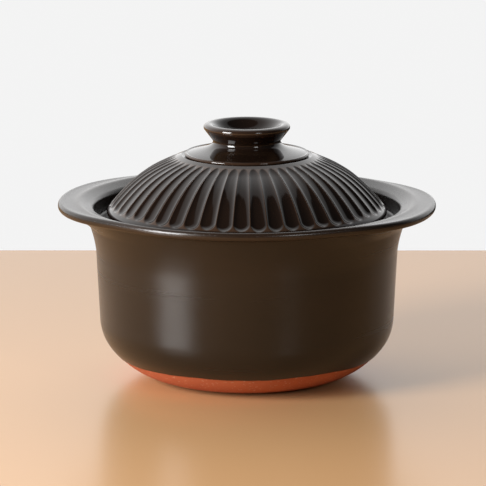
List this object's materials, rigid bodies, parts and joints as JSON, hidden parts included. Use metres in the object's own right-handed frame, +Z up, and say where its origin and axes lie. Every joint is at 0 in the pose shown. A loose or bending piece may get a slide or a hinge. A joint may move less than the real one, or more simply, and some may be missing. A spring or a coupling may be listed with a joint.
{
  "type": "clay cooking pot",
  "caption": "Round clay pot for cooking rice on a stove, with a flared rim drawn out into ear handles, a fluted domed outer lid with a ring knob, and a flat inner lid under it.",
  "frame": {"origin": "centre of the flat foot, on the surface the pot stands on", "axes": "+Z up along the axis the pot was thrown on, X through the middles of the two ears, -Y towards the viewer"},
  "size_m": [0.2456, 0.2216, 0.1668],
  "materials": {
    "pot_glaze": "satin black-brown glaze, bare red clay below the glaze line near the foot",
    "lid_glaze": "glossy black-brown glaze",
    "inner_glaze": "satin black-brown glaze, bare red clay underneath"
  },
  "bodies": {
    "pot": {"pot_floor": "pot_glaze", "pot_heel": "pot_glaze", "pot_wall": "pot_glaze", "pot_rim": "pot_glaze"},
    "outer": {"outer_lid": "lid_glaze", "outer_lid_knob": "lid_glaze"},
    "inner": {"inner_lid": "inner_glaze", "inner_lid_knob": "inner_glaze"}
  },
  "joints": [
    {"name": "outer_lid_lift", "type": "slide", "parent": "pot", "child": "outer", "axis": [0, 0, 1], "range_m": [0, 0.12]},
    {"name": "inner_lid_lift", "type": "slide", "parent": "pot", "child": "inner", "axis": [0, 0, 1], "range_m": [0, 0.06]}
  ],
  "couplings": [
    {"joint": "inner_lid_lift", "follows": "outer_lid_lift", "ratio": 0.5}
  ]
}
